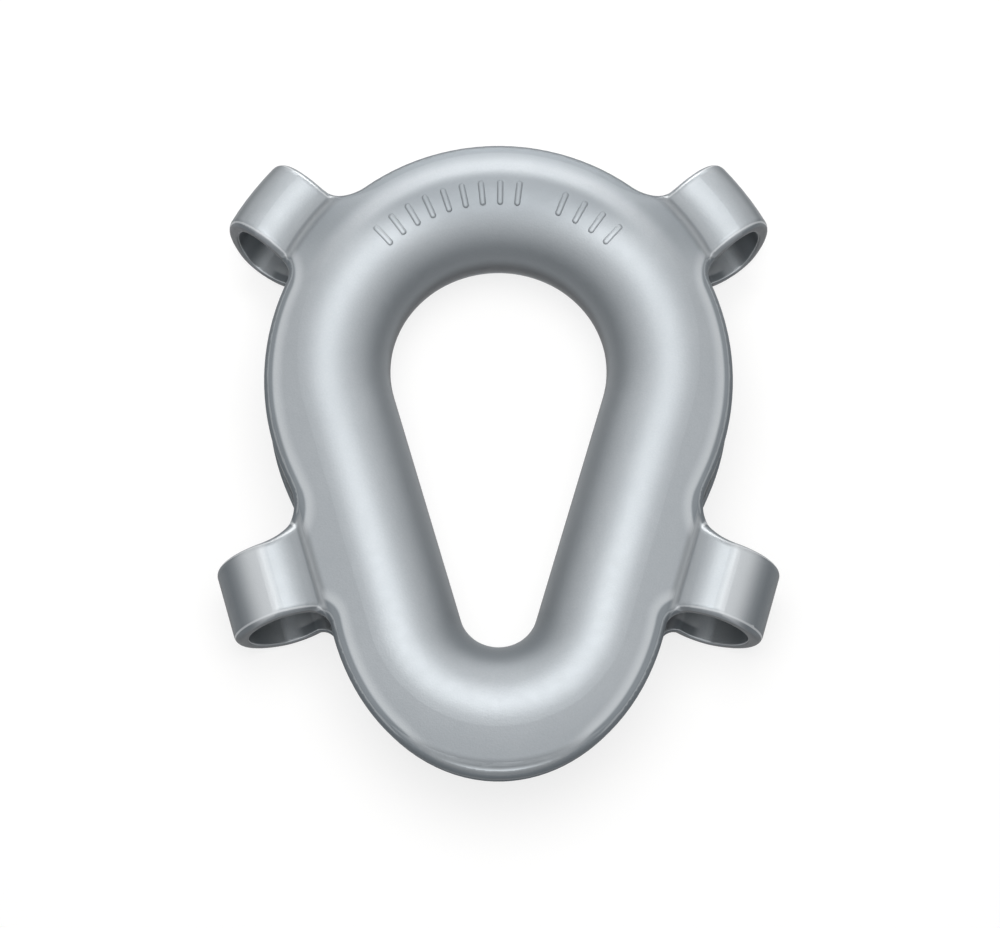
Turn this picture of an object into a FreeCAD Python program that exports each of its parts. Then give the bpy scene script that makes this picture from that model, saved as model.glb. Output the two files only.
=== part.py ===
import FreeCAD, Part
import math
import os

os.makedirs("parts", exist_ok=True)

# A rope thimble cast in one piece. It is drawn about the centre of the crown, the round end of
# its eye: X across the eye, +Y from the heel to the crown, Z through the depth. The last step
# moves the origin to the middle of the underside.

# Eye: a crown circle and a heel circle, joined by two straight legs
crown_radius = 25.6
heel_radius = 9.0
crown_to_heel = 58.9

# Wall
wall = 3.2
throat_wall = 4.5               # thicker where the eye bears on its pin

# Body section, a tube that closes in past its crest, the highest line
body_radius = 15.5
taper_angle = 22.0

# Keepers, the four closed loops that the tube widens into
keeper_half_depth = 14.9
crest_spacing = 23.2            # from the body's crest to the keeper's
ramp_angle = 42.0               # of the rise from the valley to the keeper
valley_radius = 1.5             # hollow between the taper and the ramp
rise_radius = 11.5              # of the keeper's front from the ramp to its crest
shoulder_radius = 7.6           # of the keeper's front beyond its crest

upper_overhang = 9.3            # from the keeper's crest to its outer end
upper_width = 19.2
upper_angle = 35.4              # of the keeper's middle above the X axis
lower_overhang = 12.7
lower_width = 18.1
lower_distance = 38.0           # of the keeper's middle from the top of the leg

# Rims, the edges of the rope groove between the keepers
top_rim = 27.2                  # from the eye, round the crown
side_rim = 29.2                 # from the eye, at the widest place
side_rim_radius = 57.3
side_rim_drop = 4.8             # of the side arc's centre below the crown's centre
side_rim_lean = 24.0            # of the straight rim that carries the side arc on down
heel_rim = 30.9                 # from the eye, at the heel's lowest point
heel_rim_half_width = 39.8
heel_rim_rise = 9.3             # of the heel ellipse's centre above the heel's centre
heel_rim_lean = 10.5            # of the heel's rim faces: the front rim reaches lower than the back one

# Corners between rims and keepers, seen from the front
top_corner_radius = 9.5
side_upper_corner_radius = 5.5
side_lower_corner_radius = 10.5
heel_corner_radius = 4.0

# Rounding of the cast edges, which the wall limits
outer_edge_radius = 1.8
inner_edge_radius = 0.6
largest_outer_share = 0.58
largest_inner_share = 0.3

# Derived from the sizes above
origin = FreeCAD.Vector(0, 0, 0)
right = FreeCAD.Vector(1, 0, 0)
up = FreeCAD.Vector(0, 0, 1)
keeper_crest = body_radius + crest_spacing
leg_slope = math.degrees(math.asin((crown_radius - heel_radius) / crown_to_heel))
leg_length = crown_to_heel * math.cos(math.radians(leg_slope))
widest_reach = crown_radius + keeper_crest + max(upper_overhang, lower_overhang)
beyond = 3 * widest_reach       # well clear of the casting
tolerance = 0.01                # for points that touch and for faces that run on smoothly
steep = 0.5                     # least Z part of the direction of an edge that runs through the depth


def plan_direction(angle):
    """Unit vector in the XY plane."""
    return FreeCAD.Vector(math.cos(math.radians(angle)), math.sin(math.radians(angle)), 0)


def mirrored(shape):
    return shape.mirror(origin, right)


def across(point):
    """The same place on the other side of the eye."""
    return FreeCAD.Vector(-point.x, point.y, point.z)


def section_point(centre, radius, angle):
    """Point on a circle of the section, which lies in the XZ plane."""
    turn = math.radians(angle)
    return centre + FreeCAD.Vector(radius * math.cos(turn), 0, radius * math.sin(turn))


def section_arc(centre, radius, first_angle, last_angle):
    middle = section_point(centre, radius, (first_angle + last_angle) / 2)
    first = section_point(centre, radius, first_angle)
    last = section_point(centre, radius, last_angle)
    return Part.Arc(first, middle, last).toShape()


def section_angle(start, end):
    return math.degrees(math.atan2(end.z - start.z, end.x - start.x))


def section_wire(eye_radius, overhang, inset, throat):
    """Closed outline of the tube, inset from its skin and starting a throat away from the eye."""
    eye = FreeCAD.Vector(eye_radius, 0, 0)

    # body circle, which touches both the throat and the taper
    taper_sine = math.sin(math.radians(taper_angle))
    radius = (body_radius - inset + (body_radius - throat) * taper_sine) / (1 + taper_sine)
    body = eye + FreeCAD.Vector(throat + radius, 0, 0)
    taper_start = section_point(body, radius, 90 - taper_angle)

    # rise circle, which meets the shoulder circle at the crest, and the ramp up to it
    rise = eye + FreeCAD.Vector(keeper_crest, 0, keeper_half_depth - rise_radius)
    skin_ramp = section_point(rise, rise_radius, 90 + ramp_angle)

    # valley circle, which touches the skin's taper and the ramp
    skin_centre = eye + FreeCAD.Vector(body_radius, 0, 0)
    skin_taper = section_point(skin_centre, body_radius, 90 - taper_angle)
    off_taper = section_point(origin, 1, 90 - taper_angle)
    off_ramp = section_point(origin, 1, 90 + ramp_angle)
    along = section_point(origin, 1, -taper_angle)
    ramp_gap = (skin_taper + off_taper * valley_radius - skin_ramp).dot(off_ramp) - valley_radius
    valley_foot = ramp_gap / math.sin(math.radians(taper_angle + ramp_angle))
    valley = skin_taper + along * valley_foot + off_taper * valley_radius

    # shoulder circle, and the end circle that touches it and the outer end
    shoulder_rise = keeper_half_depth - shoulder_radius
    shoulder = eye + FreeCAD.Vector(keeper_crest, 0, shoulder_rise)
    spread = overhang - shoulder_radius
    end_radius = (overhang ** 2 + shoulder_rise ** 2 - shoulder_radius ** 2) / (2 * spread)
    end = eye + FreeCAD.Vector(keeper_crest + overhang - end_radius, 0, 0)
    end_turn = section_angle(end, shoulder)

    valley_start = section_point(valley, valley_radius + inset, -90 - taper_angle)
    valley_end = section_point(valley, valley_radius + inset, ramp_angle - 90)
    rise_start = section_point(rise, rise_radius - inset, 90 + ramp_angle)
    upper_half = [
        Part.makeLine(taper_start, valley_start),
        section_arc(valley, valley_radius + inset, -90 - taper_angle, ramp_angle - 90),
        Part.makeLine(valley_end, rise_start),
        section_arc(rise, rise_radius - inset, 90 + ramp_angle, 90),
        section_arc(shoulder, shoulder_radius - inset, 90, end_turn),
    ]
    lower_half = [edge.mirror(origin, up) for edge in reversed(upper_half)]
    outer_end = section_arc(end, end_radius - inset, end_turn, -end_turn)
    body_arc = section_arc(body, radius, 90 - taper_angle, 270 + taper_angle)
    return Part.Wire(upper_half + [outer_end] + lower_half + [body_arc])


def swept_tube(inset, throat):
    """The tube all round the eye: crown, two legs and heel."""
    crown_face = Part.Face(section_wire(crown_radius, upper_overhang, inset, throat))
    crown_face.rotate(origin, up, -leg_slope)
    crown = crown_face.revolve(origin, up, 180 + 2 * leg_slope)

    leg_face = Part.Face(section_wire(crown_radius, lower_overhang, inset, throat))
    leg_face.rotate(origin, up, -leg_slope)
    leg = leg_face.extrude(plan_direction(270 - leg_slope) * leg_length)

    heel_centre = FreeCAD.Vector(0, -crown_to_heel, 0)
    heel_face = Part.Face(section_wire(heel_radius, lower_overhang, inset, throat))
    heel_face.translate(heel_centre)
    heel_face.rotate(heel_centre, up, -leg_slope)
    heel = heel_face.revolve(heel_centre, up, 2 * leg_slope - 180)
    return crown.fuse([leg, mirrored(leg), heel])


def prism(points):
    """Upright prism that runs right through the casting."""
    outline = Part.makePolygon(points + [points[0]])
    block = Part.Face(outline).extrude(up * beyond)
    block.translate(up * (-beyond / 2))
    return block


def rim_disc(curve, centre, axis):
    """Disc whose side is a rim, with the curve at mid-depth and its side along an axis."""
    disc = Part.Face(Part.Wire([curve])).extrude(axis * beyond)
    disc.translate(centre - axis * (beyond / 2))
    return disc


def meet_at_angle(faces, point):
    """True where two faces that share a point meet there at an angle."""
    normals = []
    for face in faces:
        u, v = face.Surface.parameter(point)
        normals.append(face.normalAt(u, v))
    return normals[0].cross(normals[1]).Length > tolerance


def middle_of(edge):
    return edge.valueAt((edge.FirstParameter + edge.LastParameter) / 2)


def sharp_corners(opening):
    """Edges between a window's rim and its keepers, highest first."""
    corners = []
    for edge in opening.Edges:
        middle = middle_of(edge)
        runs_through = abs(edge.tangentAt(edge.FirstParameter).z) > steep
        near = math.hypot(middle.x, middle.y) < beyond / 2
        if runs_through and near and meet_at_angle(opening.ancestorsOfType(edge, Part.Face), middle):
            corners.append(edge)
    return sorted(corners, key=lambda edge: -middle_of(edge).y)


def window(points, rims, corner_radii):
    """What is cut away outside a rim, between two keepers, with its corners rounded, highest first."""
    opening = prism(points).cut(rims)
    for radius in corner_radii:
        opening = opening.makeFillet(radius, sharp_corners(opening)[:1])
    return opening


def upper_side(distance, side):
    """Point on a side plane of the right upper keeper, at a distance from the crown's centre."""
    offset = plan_direction(upper_angle + 90) * (side * upper_width / 2)
    return plan_direction(upper_angle) * distance + offset


def lower_side(distance, side):
    """Point on a side plane of the right lower keeper, at a distance from the leg's tangent point."""
    down = lower_distance + side * lower_width / 2
    top_of_leg = plan_direction(-leg_slope) * crown_radius
    return top_of_leg + plan_direction(270 - leg_slope) * down + plan_direction(-leg_slope) * distance


def top_window():
    disc = rim_disc(Part.makeCircle(crown_radius + top_rim), origin, up)
    inner = upper_side(crown_radius, 1)
    outer = upper_side(beyond, 1)
    return window([inner, outer, across(outer), across(inner)], [disc], [top_corner_radius] * 2)


def side_window():
    """The right one, from the upper keeper down to the lower one."""
    centre = FreeCAD.Vector(crown_radius + side_rim - side_rim_radius, -side_rim_drop, 0)
    disc = rim_disc(Part.makeCircle(side_rim_radius), centre, up)
    arc_end = centre + plan_direction(-side_rim_lean) * side_rim_radius
    onward = plan_direction(270 - side_rim_lean) * (crown_to_heel + heel_radius)
    straight = prism([centre, arc_end, arc_end + onward, centre + onward])
    top = [upper_side(crown_radius, -1), upper_side(beyond, -1)]
    bottom = [lower_side(beyond, -1), lower_side(0, -1)]
    return window(top + bottom, [disc, straight], [side_upper_corner_radius, side_lower_corner_radius])


def heel_window():
    centre = FreeCAD.Vector(0, heel_rim_rise - crown_to_heel, 0)
    tip = FreeCAD.Vector(0, heel_radius + heel_rim + heel_rim_rise, 0)
    flank = FreeCAD.Vector(heel_rim_half_width, 0, 0)
    shorter, longer = sorted([tip, flank], key=lambda half_axis: half_axis.Length)
    ellipse = Part.Ellipse(longer, shorter, origin).toShape()
    leaning = up - FreeCAD.Vector(0, math.tan(math.radians(heel_rim_lean)), 0)
    disc = rim_disc(ellipse, centre, leaning)
    inner = lower_side(0, 1)
    outer = lower_side(beyond, 1)
    below = outer - FreeCAD.Vector(0, beyond, 0)
    points = [inner, outer, below, across(below), across(outer), across(inner)]
    return window(points, [disc], [heel_corner_radius] * 2)


def edges_on(casting, sides, skin):
    """Edges of the casting that lie both on the windows' sides and on a skin of the tube."""
    found = []
    for edge in casting.Edges:
        point = Part.Vertex(middle_of(edge))
        if sides.distToShape(point)[0] < tolerance and skin.distToShape(point)[0] < tolerance:
            found.append(edge)
    return found


def rope_thimble():
    skin = swept_tube(0, 0)
    core = swept_tube(wall, throat_wall)
    right_window = side_window()
    windows = [top_window(), right_window, mirrored(right_window), heel_window()]
    casting = skin.cut(core).cut(windows)

    sides = Part.makeCompound([opening.Shells[0] for opening in windows])
    outer_skin = Part.makeCompound(skin.Faces)
    inner_skin = Part.makeCompound(core.Faces)
    outer_rounding = min(outer_edge_radius, largest_outer_share * wall)
    inner_rounding = min(inner_edge_radius, largest_inner_share * wall)
    casting = casting.makeFillet(outer_rounding, edges_on(casting, sides, outer_skin))
    return casting.makeFillet(inner_rounding, edges_on(casting, sides, inner_skin))


thimble = rope_thimble()
box = thimble.optimalBoundingBox()
thimble.translate(FreeCAD.Vector(-box.Center.x, -box.Center.y, -box.ZMin))
thimble.exportStep("parts/rope_thimble.step")
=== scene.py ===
import math

import bmesh
import bpy
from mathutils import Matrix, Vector


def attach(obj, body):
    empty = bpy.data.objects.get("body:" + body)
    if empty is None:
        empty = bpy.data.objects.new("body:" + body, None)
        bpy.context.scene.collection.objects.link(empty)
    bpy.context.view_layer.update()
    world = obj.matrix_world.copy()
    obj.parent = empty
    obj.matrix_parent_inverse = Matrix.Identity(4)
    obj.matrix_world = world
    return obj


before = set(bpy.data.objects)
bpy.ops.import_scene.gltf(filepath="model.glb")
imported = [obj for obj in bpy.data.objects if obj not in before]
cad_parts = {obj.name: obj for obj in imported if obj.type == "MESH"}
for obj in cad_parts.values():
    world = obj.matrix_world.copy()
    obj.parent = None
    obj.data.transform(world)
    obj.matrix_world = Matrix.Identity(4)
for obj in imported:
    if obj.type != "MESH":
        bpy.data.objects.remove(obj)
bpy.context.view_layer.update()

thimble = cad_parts["rope_thimble"]
scene = bpy.context.scene
scene.view_settings.view_transform = "Standard"
print("frame loaded")

# the casting's own sizes in metres, as it lies on the floor
casting = {
    "eyeRadius": 0.0256,       # round end of the eye
    "eyeCentre": 0.02388,      # of that round end, along Y
    "tubeRadius": 0.0155,      # of the body round the groove
    "middle": 0.0155,          # height of the mid-plane
    "heelRadius": 0.009,       # narrow end of the eye
    "crownToHeel": 0.0589,     # between the centres of the eye's two ends
}


# camera
viewpoint = {
    "target": (0.0, 0.00072, 0.0155),
    "distance": 0.7755,
    "elevation": 73.0,
    "lens": 118.8,
    "sensor": 36.0,
    "shiftX": 0.0015,
    "clip": (0.01, 50.0),
}


def makeCamera():
    data = bpy.data.cameras.new("camera")
    camera = bpy.data.objects.new("camera", data)
    scene.collection.objects.link(camera)
    tilt = math.radians(viewpoint["elevation"])
    back = Vector((0, -math.cos(tilt), math.sin(tilt)))
    camera.location = Vector(viewpoint["target"]) + back * viewpoint["distance"]
    camera.rotation_mode = "QUATERNION"
    camera.rotation_quaternion = (-back).to_track_quat("-Z", "Y")
    data.lens = viewpoint["lens"]
    data.sensor_width = viewpoint["sensor"]
    data.shift_x = viewpoint["shiftX"]
    data.clip_start, data.clip_end = viewpoint["clip"]
    scene.camera = camera


makeCamera()
print("camera placed")


# shader helpers
class Value:
    # one socket, so that shader maths reads as a plain expression
    def __init__(self, finish, socket):
        self.finish = finish
        self.socket = socket

    def __add__(self, other):
        return self.finish.maths("ADD", self, other)

    def __sub__(self, other):
        return self.finish.maths("SUBTRACT", self, other)

    def __rsub__(self, other):
        return self.finish.maths("SUBTRACT", other, self)

    def __mul__(self, other):
        return self.finish.maths("MULTIPLY", self, other)

    def __truediv__(self, other):
        return self.finish.maths("DIVIDE", self, other)

    __radd__ = __add__
    __rmul__ = __mul__

    def power(self, other):
        return self.finish.maths("POWER", self, other)

    def above(self, limit):
        return self.finish.maths("GREATER_THAN", self, limit)

    def output(self, name):
        return Value(self.finish, self.socket.node.outputs[name])


class Finish:
    # a node tree that is built up call by call
    def __init__(self, tree):
        self.tree = tree
        tree.nodes.clear()

    def node(self, kind, settings={}, sockets={}):
        made = self.tree.nodes.new("ShaderNode" + kind)
        for name, setting in settings.items():
            setattr(made, name, setting)
        for name, value in sockets.items():
            if isinstance(value, Value):
                self.tree.links.new(value.socket, made.inputs[name])
            else:
                made.inputs[name].default_value = value
        if made.outputs:      # the tree's own output has none
            return Value(self, next(socket for socket in made.outputs if socket.enabled))

    def maths(self, operation, first, second):
        return self.node("Math", {"operation": operation}, {0: first, 1: second})

    def size(self, value):
        return self.node("Math", {"operation": "ABSOLUTE"}, {0: value})

    def larger(self, first, second):
        return self.maths("MAXIMUM", first, second)

    def smaller(self, first, second):
        return self.maths("MINIMUM", first, second)

    def hypotenuse(self, first, second):
        return (first * first + second * second).power(0.5)

    def ramp(self, value, limits, first, last):
        start, end = limits
        sockets = {"Value": value, "From Min": start, "From Max": end, "To Min": first, "To Max": last}
        return self.node("MapRange", {"interpolation_type": "SMOOTHSTEP"}, sockets)

    def rising(self, value, limits):
        return self.ramp(value, limits, 0.0, 1.0)

    def falling(self, value, limits):
        return self.ramp(value, limits, 1.0, 0.0)

    def between(self, value, lower, upper):
        # rises at the lower pair of limits and falls at the upper pair
        return self.rising(value, lower) * self.falling(value, upper)

    def noise(self, place, size, detail, roughness):
        # size is that of one patch, in metres
        sockets = {"Vector": place, "Scale": 1 / size, "Detail": detail, "Roughness": roughness}
        return self.node("TexNoise", {}, sockets)

    def blend(self, share, first, second):
        settings = {"data_type": "RGBA", "blend_type": "MIX"}
        mixed = self.node("Mix", settings, {0: share, 6: first, 7: second})
        return Value(self, mixed.socket.node.outputs[2])


# the groove's openings between the keepers, seen from the front and about the crown's centre
windows = {
    "crownRim": 0.0528,
    "sideRim": 0.0573,
    "sideCentre": (-0.0025, -0.0048),
    "sideLean": 24.0,              # of the straight rim below the side's arc
    "heelRim": (0.0398, 0.0492),   # half axes
    "heelCentre": -0.0496,
    "heelLean": 10.5,              # of the heel's rim faces
    "upperAngle": 35.4,            # of the upper keepers' middle above the X axis
    "upperHalf": 0.0096,           # half width
    "lowerTop": 0.02895,           # places along the leg
    "lowerEnd": 0.04705,
    "topCorner": 0.0095,
    "sideUpperCorner": 0.0055,
    "sideLowerCorner": 0.0105,
    "heelCorner": 0.004,
    "endsWider": 0.0005,           # added to the crown and heel openings for the painted shade along their rims
}


def legDirection():
    # sine and cosine of the angle between a leg and the Y axis
    sine = (casting["eyeRadius"] - casting["heelRadius"]) / casting["crownToHeel"]
    return sine, math.sqrt(1 - sine ** 2)


def alongLeg(across, down):
    # distance down a leg from where it leaves the crown
    sine, cosine = legDirection()
    return down * cosine - across * sine


def fromEye(finish, across, down):
    # distance of each point from the edge of the eye, seen from the front
    sine, cosine = legDirection()
    along = alongLeg(across, down)
    crown = finish.hypotenuse(across, down) - casting["eyeRadius"]
    heel = finish.hypotenuse(across, down - casting["crownToHeel"]) - casting["heelRadius"]
    leg = across * cosine + down * sine - casting["eyeRadius"]
    pastCrown = along.above(0.0)
    pastLeg = along.above(casting["crownToHeel"] * cosine)
    return crown * (1 - pastCrown) + leg * (pastCrown - pastLeg) + heel * pastLeg


def awayFromEye(finish, parts, normal):
    # how far each face looks away from the line that joins the eye's two ends
    nearest = finish.node("Clamp", {}, {"Value": parts.output("Y"), "Max": casting["eyeCentre"],
                                        "Min": casting["eyeCentre"] - casting["crownToHeel"]})
    offset = finish.node("CombineXYZ", {}, {"X": parts.output("X"), "Y": parts.output("Y") - nearest})
    outward = finish.node("VectorMath", {"operation": "NORMALIZE"}, {0: offset}).output("Vector")
    return finish.node("VectorMath", {"operation": "DOT_PRODUCT"}, {0: outward, 1: normal}).output("Value")


def fromSideRim(finish, across, down):
    # an arc that runs on as a straight line
    sideX = across - windows["sideCentre"][0]
    sideDown = down + windows["sideCentre"][1]
    lean = math.radians(windows["sideLean"])
    arc = windows["sideRim"] - finish.hypotenuse(sideX, sideDown)
    straight = windows["sideRim"] - (sideX * math.cos(lean) + sideDown * math.sin(lean))
    pastArc = (sideDown * math.cos(lean) - sideX * math.sin(lean)).above(0.0)
    return arc + (straight - arc) * pastArc


def fromCorner(finish, beyondRim, beyondKeeper, radius):
    # distance from an opening, whose corner is rounded
    one = finish.larger(beyondRim + radius, 0.0)
    other = finish.larger(beyondKeeper + radius, 0.0)
    return finish.hypotenuse(one, other) - radius


def fromWindows(finish, across, down, height):
    # distance from the nearest opening, and how far towards the heel's lowest point each place lies
    crownRim = windows["crownRim"] - finish.hypotenuse(across, down)
    sideRim = fromSideRim(finish, across, down)
    shift = (height - casting["middle"]) * math.tan(math.radians(windows["heelLean"]))
    heelDown = down + windows["heelCentre"] - shift
    wide, tall = windows["heelRim"]
    heelReach = finish.hypotenuse(across, heelDown)
    heelRim = heelReach / finish.hypotenuse(across * (1 / wide), heelDown * (1 / tall)) - heelReach

    turn = math.radians(windows["upperAngle"])
    belowUpper = down * math.cos(turn) + across * math.sin(turn)
    along = alongLeg(across, down)
    top = fromCorner(finish, crownRim, belowUpper + windows["upperHalf"], windows["topCorner"])
    sideUpper = fromCorner(finish, sideRim, windows["upperHalf"] - belowUpper, windows["sideUpperCorner"])
    sideLower = fromCorner(finish, sideRim, along - windows["lowerTop"], windows["sideLowerCorner"])
    heel = fromCorner(finish, heelRim, windows["lowerEnd"] - along, windows["heelCorner"])
    side = finish.larger(sideUpper, sideLower)
    ends = finish.smaller(top, heel) - windows["endsWider"]
    return finish.smaller(side, ends), heelDown / heelReach


# galvanised casting
zinc = {
    "colour": (0.256, 0.276, 0.294, 1.0),
    "pale": (0.320, 0.337, 0.352, 1.0),
    "dark": (0.198, 0.216, 0.233, 1.0),
    # painted shade colour, for the layers that darken where shade falls
    "paintedShade": (0.112, 0.128, 0.142, 1.0),
    # darkest painted shade, for steep walls and outlines
    "paintedDarkestShade": (0.045, 0.052, 0.060, 1.0),
    # painted shade for the hollows before the keepers
    "paintedHollowShade": (0.122, 0.131, 0.139, 1.0),
    # painted highlight colour, also the lighter zinc of worn edges
    "highlightAndWear": (0.62, 0.64, 0.66, 1.0),

    # areas, each over the one before: its name, its colour and the share of that colour; they are painted
    # shade or painted highlight, the edges' one partly wear
    "layers": [
        ("liftHighlight", "highlightAndWear", 0.10),         # painted highlight at the foot of the keepers' rise
        ("hollow", "paintedHollowShade", 0.85),    # painted shade in the hollow before the keepers
        ("outerWallShade", "paintedShade", 0.92),      # painted shade on walls that look outward
        ("shoulderHighlight", "highlightAndWear", 0.38),     # painted highlight on the outer half of the lower keepers
        ("flankShade", "paintedShade", 0.45),          # painted shade on what slopes down to the eye
        ("uprightShade", "paintedDarkestShade", 0.85),     # darkest painted shade on every steep wall
        ("heelWallShade", "paintedShade", 0.85),       # painted shade on the wall of the eye
        # painted shade on the heel's flange, darker towards its rim
        ("heelFlangeShade", "paintedShade", 0.20),
        ("bandHighlight", "highlightAndWear", 0.22),         # painted highlight on the band's inner side
        ("rimBandShade", "paintedShade", 0.75),           # painted shade along the rims
        ("wearAndHighlight", "highlightAndWear", 0.80),         # wear and painted highlight on the edges of the rims and the keepers
        ("crest", "paintedShade", 0.55),          # painted shade round the marks
        ("crownRim", "paintedShade", 0.55),       # painted shade beyond the marks
    ],

    # grain: size of a patch, detail and roughness of the noise
    "patches": (0.014, 3.0, 0.55),
    "mottle": (0.0026, 3.0, 0.6),
    "grain": (0.00045, 2.0, 0.6),
    "patchTone": 0.45,
    "mottleTone": 0.30,
    "grainTone": 0.80,
    "toneShift": 0.275,
    "toneShare": 0.45,                # of the patchy colour in the plain one
    "patchHeight": 0.000030,
    "mottleHeight": 0.000009,
    "grainHeight": 0.000030,

    # shine
    "metallic": 0.60,
    "uprightDull": 0.50,              # taken off the metallic share
    "heelWallDull": 0.40,
    "reflection": 0.30,
    "roughness": 0.48,
    "mottleRough": 0.12,
    "grainRough": 0.08,
    "hollowRough": 0.12,
    "crestRough": 0.06,
    "wearAndHighlightSmooth": 0.10,

    # soft edges of the areas, two limits each: distances from the eye's edge, if no note says otherwise
    "outward": (0.0, 0.2),            # the normal's part that looks away from the eye
    "hollowIn": (0.0278, 0.0297),
    "hollowOut": (0.0300, 0.0312),    # on the keepers' rise, which faces the eye
    "hollowEnd": (0.0315, 0.0325),    # past the heel's rim
    "liftIn": (0.0305, 0.0311),
    "liftOut": (0.0316, 0.0330),
    "shoulderIn": (0.0378, 0.0402),
    "shoulderOut": (0.0432, 0.0475),
    "shoulderTop": (0.0, 0.010),      # along Y, short of the upper keepers
    "outerWallLevel": (0.52, 0.85),   # the normal's upright part: 1 on a level face, 0 on a steep wall
    "flankLevel": (0.48, 0.92),       # the same
    "uprightLevel": (0.05, 0.34),     # the same
    "heelward": (0.60, 0.95),         # 1 is straight below the heel's centre
    "heelWallOut": (0.0030, 0.0105),
    "heelFlangeIn": (0.0190, 0.0275),
    "crestIn": (0.003, 0.010),
    "crestOut": (0.0172, 0.0202),
    "crestUp": (0.026, 0.038),        # along Y from the crown's centre
    "crownRimIn": (0.0212, 0.0250),
    "crownRimOut": (0.0285, 0.0300),
    "crownRimUp": (0.016, 0.034),     # along Y from the crown's centre
    "bandEnd": (0.0018, 0.0023),      # from the openings
    "bandOut": (0.0350, 0.0375),
    "bandAway": (0.1, 0.4),           # the normal's part that looks away from the eye
    "bandCrown": (0.050, 0.068),      # along Y, where the band fades
    "bandFade": 0.50,
    "bandLowest": (0.86, 0.99),       # 1 is straight below the heel's centre, where the band is narrower
    "bandLess": 0.0015,
    "glowIn": (0.0020, 0.0026),       # from the openings
    "glowOut": (0.0028, 0.0050),      # from the openings
    "rimIn": (0.0245, 0.0250),
    "rimOut": (0.0297, 0.0302),
    "rimLevel": 0.86,                 # the normal's upright part on a rim's edge, where its wear and painted highlight lie
    "rimSpread": (0.02, 0.07),        # how far off that
    "rimWearAndHighlight": 0.22,
    "keeperIn": (0.0292, 0.0312),
    "keeperSide": 0.25,               # square of the normal's part along the groove, on a keeper's edge of wear and painted highlight
    "keeperSpread": (0.04, 0.16),     # how far off that
    "keeperWearAndHighlight": 0.6,
}


def readSpot(finish, place):
    # what the areas are worked out from
    parts = finish.node("SeparateXYZ", {}, {"Vector": place})
    across = finish.size(parts.output("X"))
    down = casting["eyeCentre"] - parts.output("Y")
    inset, heelward = fromWindows(finish, across, down, parts.output("Z"))
    normal = finish.node("TexCoord").output("Normal")
    away = awayFromEye(finish, parts, normal)
    return {
        "up": parts.output("Y"),
        "reach": fromEye(finish, across, down),
        "inset": inset,
        "heelward": heelward,
        "level": finish.size(finish.node("SeparateXYZ", {}, {"Vector": normal}).output("Z")),
        "away": away,
        "outward": finish.rising(away, zinc["outward"]),
    }


def wallAreas(finish, spot):
    # painted shade and painted highlight on the walls and round the keepers
    reach, level, outward = spot["reach"], spot["level"], spot["outward"]
    inward = 1 - outward
    hollow = finish.between(reach, zinc["hollowIn"], zinc["hollowEnd"])
    shoulderHighlight = finish.between(reach, zinc["shoulderIn"], zinc["shoulderOut"]) * outward
    atHeel = finish.rising(spot["heelward"], zinc["heelward"])
    return {
        "hollow": hollow * (1 - finish.rising(reach, zinc["hollowOut"]) * inward),
        "liftHighlight": finish.between(reach, zinc["liftIn"], zinc["liftOut"]) * inward,
        "shoulderHighlight": shoulderHighlight * finish.falling(spot["up"], zinc["shoulderTop"]),
        "outerWallShade": finish.falling(level, zinc["outerWallLevel"]) * outward,
        "flankShade": finish.falling(level, zinc["flankLevel"]) * inward,
        "uprightShade": finish.falling(level, zinc["uprightLevel"]),
        "heelWallShade": finish.falling(reach, zinc["heelWallOut"]) * atHeel,
        "heelFlangeShade": finish.rising(reach, zinc["heelFlangeIn"]) * atHeel,
    }


def crownAreas(finish, spot):
    # painted shade on the crown, round and beyond the marks
    fromCentre = spot["up"] - casting["eyeCentre"]
    crest = finish.between(spot["reach"], zinc["crestIn"], zinc["crestOut"])
    crownRim = finish.between(spot["reach"], zinc["crownRimIn"], zinc["crownRimOut"])
    return {
        "crest": crest * finish.rising(fromCentre, zinc["crestUp"]),
        # painted shade on the crown's taper beyond the marks
        "crownRim": crownRim * finish.rising(fromCentre, zinc["crownRimUp"]),
    }


def rimAreas(finish, spot):
    # painted shade along the rims, and a painted highlight on its inner side
    lowest = finish.rising(spot["heelward"], zinc["bandLowest"])
    crownward = finish.rising(spot["up"], zinc["bandCrown"])
    inset = spot["inset"] + lowest * zinc["bandLess"]
    onBody = finish.falling(spot["reach"], zinc["bandOut"]) * finish.rising(spot["away"], zinc["bandAway"])
    rimBandShade = finish.falling(inset, zinc["bandEnd"]) * onBody
    bandHighlight = finish.between(inset, zinc["glowIn"], zinc["glowOut"]) * onBody
    return {
        "rimBandShade": rimBandShade * (1 - crownward * zinc["bandFade"]),
        "bandHighlight": bandHighlight * (1 - lowest) * (1 - crownward),
    }


def wearAndHighlightAreas(finish, spot):
    # lighter zinc on the rounded edges: partly wear, partly painted highlight where the edges catch the
    # light
    reach, level, away = spot["reach"], spot["level"], spot["away"]
    rim = finish.falling(finish.size(level - zinc["rimLevel"]), zinc["rimSpread"])
    rim = rim * finish.between(reach, zinc["rimIn"], zinc["rimOut"]) * spot["outward"]
    sideways = finish.larger(1 - level * level - away * away, 0.0)
    keeper = finish.falling(finish.size(sideways - zinc["keeperSide"]), zinc["keeperSpread"])
    keeper = keeper * finish.rising(reach, zinc["keeperIn"])
    return {"wearAndHighlight": rim * zinc["rimWearAndHighlight"] + keeper * zinc["keeperWearAndHighlight"]}


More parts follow.
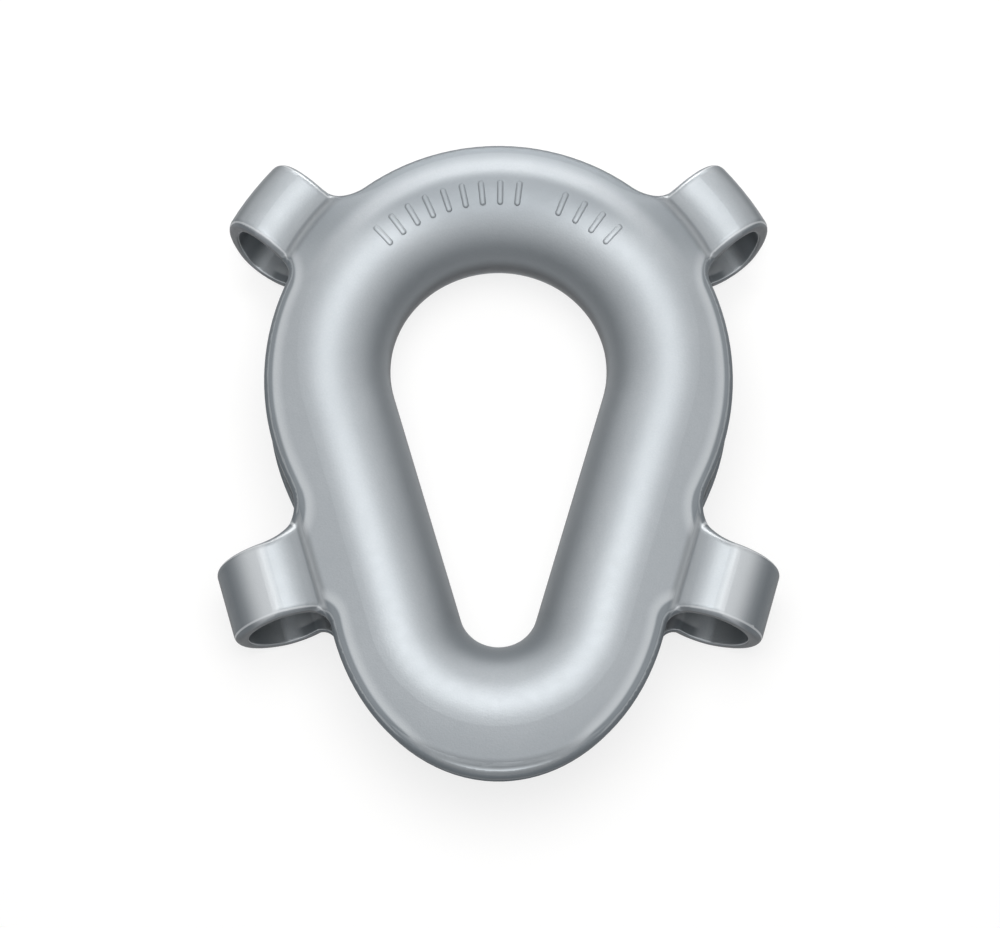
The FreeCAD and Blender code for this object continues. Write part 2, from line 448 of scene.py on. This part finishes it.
def makeZinc():
    material = bpy.data.materials.new("galvanised")
    material.use_nodes = True
    finish = Finish(material.node_tree)
    place = finish.node("TexCoord").output("Object")
    patches = finish.noise(place, *zinc["patches"])
    mottle = finish.noise(place, *zinc["mottle"])
    grain = finish.noise(place, *zinc["grain"])
    tone = patches * zinc["patchTone"] + mottle * zinc["mottleTone"] + grain * zinc["grainTone"]
    patchy = finish.blend(tone - zinc["toneShift"], zinc["dark"], zinc["pale"])
    colour = finish.blend(zinc["toneShare"], zinc["colour"], patchy)

    spot = readSpot(finish, place)
    areas = {}
    for findAreas in (wallAreas, crownAreas, rimAreas, wearAndHighlightAreas):
        areas.update(findAreas(finish, spot))
    for name, shade, share in zinc["layers"]:
        colour = finish.blend(areas[name] * share, colour, zinc[shade])

    dull = finish.larger(areas["uprightShade"] * zinc["uprightDull"], areas["heelWallShade"] * zinc["heelWallDull"])
    roughness = zinc["roughness"] + (mottle - 0.5) * zinc["mottleRough"] + (grain - 0.5) * zinc["grainRough"]
    roughness = roughness + areas["hollow"] * zinc["hollowRough"] - areas["wearAndHighlight"] * zinc["wearAndHighlightSmooth"]
    roughness = roughness + areas["crest"] * zinc["crestRough"]
    height = grain * zinc["grainHeight"] + mottle * zinc["mottleHeight"] + patches * zinc["patchHeight"]
    bump = finish.node("Bump", {}, {"Strength": 1.0, "Distance": 1.0, "Height": height})
    surface = finish.node("BsdfPrincipled", {}, {
        "Base Color": colour, "Metallic": zinc["metallic"] - dull, "Roughness": roughness, "Normal": bump,
        "Specular IOR Level": zinc["reflection"]})
    finish.node("OutputMaterial", {}, {"Surface": surface})
    return material


zincFinish = makeZinc()
thimble.data.materials.clear()
thimble.data.materials.append(zincFinish)
print("casting finished in zinc")


# raised marks on the crown
marks = {
    "angles": [-43.6 + 6.31 * step for step in range(9)] + [22.4 + 6.9 * step for step in range(4)],
    "reach": 0.0393,           # of their middles from the eye's centre
    "length": 0.0063,
    "width": 0.0017,
    "endSteps": 10,
    "sideSteps": 6,
    # inset from the foot, height over the skin
    "profile": [(0.0, -0.00010), (0.00016, 0.00005), (0.00030, 0.00016),
                (0.00045, 0.00023), (0.00062, 0.00026)],
}


def onCrown(across, out, height):
    # a point of the tube's skin round the crown, lifted by a height
    crestRadius = casting["eyeRadius"] + casting["tubeRadius"]
    reach = math.hypot(across, out)
    fromCrest = reach - crestRadius
    rise = math.sqrt(casting["tubeRadius"] ** 2 - fromCrest ** 2)
    lifted = 1 + height / casting["tubeRadius"]
    turn = (crestRadius + fromCrest * lifted) / reach
    return Vector((across * turn, casting["eyeCentre"] + out * turn, casting["middle"] + rise * lifted))


def markRing(inset):
    # outline of a bar with round ends, from the middle of its right side, in its own plane
    half = marks["width"] / 2 - inset
    straight = (marks["length"] - marks["width"]) / 2
    right = [(half, straight * (step / marks["sideSteps"] - 0.5) * 2) for step in range(marks["sideSteps"])]
    turns = [math.pi * step / marks["endSteps"] for step in range(marks["endSteps"])]
    top = [(half * math.cos(turn), straight + half * math.sin(turn)) for turn in turns]
    oneHalf = right + top
    return oneHalf + [(-x, -y) for x, y in oneHalf]


def addMark(mesh, angle):
    lean = math.radians(angle)
    outward = (math.sin(lean), math.cos(lean))
    sideways = (math.cos(lean), -math.sin(lean))
    rings = []
    for inset, height in marks["profile"]:
        ring = []
        for x, y in markRing(inset):
            out = marks["reach"] + y
            point = onCrown(outward[0] * out + sideways[0] * x, outward[1] * out + sideways[1] * x, height)
            ring.append(mesh.verts.new(point))
        rings.append(ring)
    count = len(rings[0])
    for lower, upper in zip(rings, rings[1:]):
        for step in range(count):
            after = (step + 1) % count
            mesh.faces.new([lower[step], lower[after], upper[after], upper[step]])
    # the flat top, in strips from side to side
    top = rings[-1]
    start = marks["sideSteps"] + marks["endSteps"] // 2      # the outer tip
    for step in range(count // 2):
        a, b = top[(start + step) % count], top[(start + step + 1) % count]
        c, d = top[(start - step - 1) % count], top[(start - step) % count]
        corners = [a, b, c, d]
        mesh.faces.new([corner for index, corner in enumerate(corners) if corner not in corners[:index]])


def makeMarks():
    mesh = bmesh.new()
    for angle in marks["angles"]:
        addMark(mesh, angle)
    bmesh.ops.recalc_face_normals(mesh, faces=mesh.faces)
    data = bpy.data.meshes.new("crown_marks")
    mesh.to_mesh(data)
    mesh.free()
    data.shade_smooth()
    data.materials.append(zincFinish)
    piece = bpy.data.objects.new("crown_marks", data)
    scene.collection.objects.link(piece)
    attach(piece, "root")


makeMarks()
print("marks raised on the crown")


# studio
studio = {
    "floorColour": (0.92, 0.92, 0.92, 1.0),
    "floorHalf": 6.0,                 # of its side
    "floorLift": 0.78,                # of the floor's white that needs no light, close to the casting
    "floorWhite": (0.10, 0.45),       # distances over which that becomes all of it
    "ambient": 0.10,
    "softboxTint": (1.0, 0.99, 0.97),
    "softboxes": [
        # name, place, the point it faces, sizes, power
        ("overhead", (0.0, 0.01, 0.40), (0.0, 0.0, 0.0155), (0.32, 0.32), 1.40),
        ("back", (0.0, 0.175, 0.085), (0.0, 0.070, 0.025), (0.22, 0.05), 0.16),
    ],
    "fill": {"direction": (0.0, -0.10, 1.0), "width": 120.0, "strength": 1.15},
}


def seenDirectly(finish):
    path = finish.node("LightPath")
    seen = finish.larger(path.output("Is Camera Ray"), path.output("Is Glossy Ray"))
    return finish.larger(seen, path.output("Is Transmission Ray"))


def makeFloor():
    data = bpy.data.meshes.new("floor")
    half = studio["floorHalf"]
    corners = [(-half, -half, 0), (half, -half, 0), (half, half, 0), (-half, half, 0)]
    data.from_pydata(corners, [], [(0, 1, 2, 3)])
    floor = bpy.data.objects.new("floor", data)
    scene.collection.objects.link(floor)
    material = bpy.data.materials.new("floor")
    material.use_nodes = True
    finish = Finish(material.node_tree)
    place = finish.node("TexCoord").output("Object")
    away = finish.node("VectorMath", {"operation": "LENGTH"}, {0: place}).output("Value")
    near, far = studio["floorWhite"]
    whiteness = finish.node("MapRange", {}, {"Value": away, "From Min": near, "From Max": far,
                                             "To Min": studio["floorLift"], "To Max": 1.0})
    lit = finish.node("BsdfDiffuse", {}, {"Color": studio["floorColour"]})
    white = finish.node("Emission", {}, {"Color": (1, 1, 1, 1), "Strength": 1.0})
    shown = finish.node("MixShader", {}, {0: seenDirectly(finish) * whiteness, 1: lit, 2: white})
    finish.node("OutputMaterial", {}, {"Surface": shown})
    data.materials.append(material)


def makeWorld():
    world = bpy.data.worlds.new("studio")
    scene.world = world
    world.use_nodes = True
    finish = Finish(world.node_tree)
    strength = seenDirectly(finish) * (1 - studio["ambient"]) + studio["ambient"]
    sky = finish.node("Background", {}, {"Color": (1, 1, 1, 1), "Strength": strength})
    finish.node("OutputWorld", {}, {"Surface": sky})


def addLamp(name, kind, towards):
    data = bpy.data.lights.new(name, kind)
    lamp = bpy.data.objects.new(name, data)
    scene.collection.objects.link(lamp)
    lamp.rotation_mode = "QUATERNION"
    lamp.rotation_quaternion = towards.to_track_quat("Z", "Y")
    return lamp


def makeLamps():
    for name, place, aim, sizes, power in studio["softboxes"]:
        softbox = addLamp(name, "AREA", Vector(place) - Vector(aim))
        softbox.location = place
        softbox.visible_camera = False
        softbox.data.shape = "ELLIPSE"
        softbox.data.size, softbox.data.size_y = sizes
        softbox.data.energy = power
        softbox.data.color = studio["softboxTint"]
    fill = addLamp("fill", "SUN", Vector(studio["fill"]["direction"]))
    fill.data.angle = math.radians(studio["fill"]["width"])
    fill.data.energy = studio["fill"]["strength"]


makeFloor()
makeWorld()
makeLamps()
print("studio lit")
